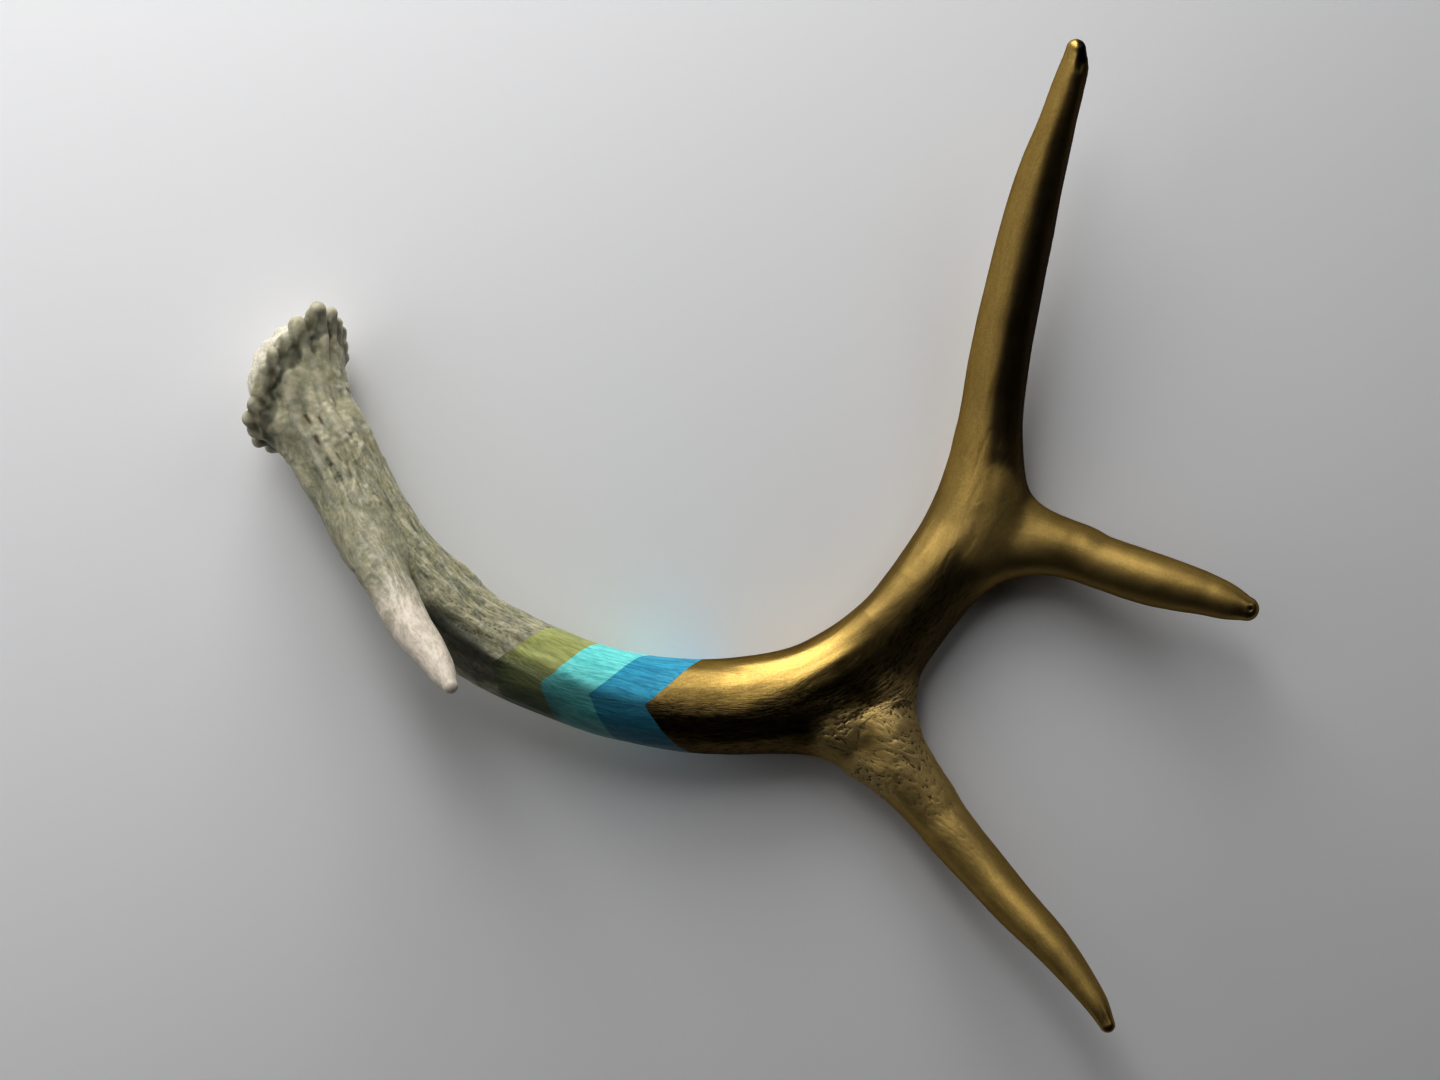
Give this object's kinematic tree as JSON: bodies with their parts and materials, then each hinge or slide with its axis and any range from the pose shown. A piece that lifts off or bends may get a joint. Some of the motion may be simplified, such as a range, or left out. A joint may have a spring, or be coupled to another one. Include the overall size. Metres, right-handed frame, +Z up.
{
  "type": "painted antler",
  "caption": "Shed deer antler lying flat, with a knobbed burr, a bare lower beam and brow tine, chevron paint bands, and a metallic painted upper beam and tines.",
  "frame": {"origin": "on the floor under the middle of the antler's bounding box, with the antler lying as it rests", "axes": "+Z up from the floor, +X from the burr's end towards the third tine's tip, +Y towards the main beam's tip"},
  "size_m": [0.348, 0.3303, 0.0821],
  "materials": {
    "gold_paint": "satin metallic gold paint",
    "bare_antler": "matte, ridged and pearled",
    "olive_paint": "matte",
    "turquoise_paint": "matte",
    "blue_paint": "matte"
  },
  "bodies": {
    "root": {"main_beam": "gold_paint", "second_tine": "gold_paint", "third_tine": "gold_paint", "brow_tine": "bare_antler"}
  },
  "joints": []
}
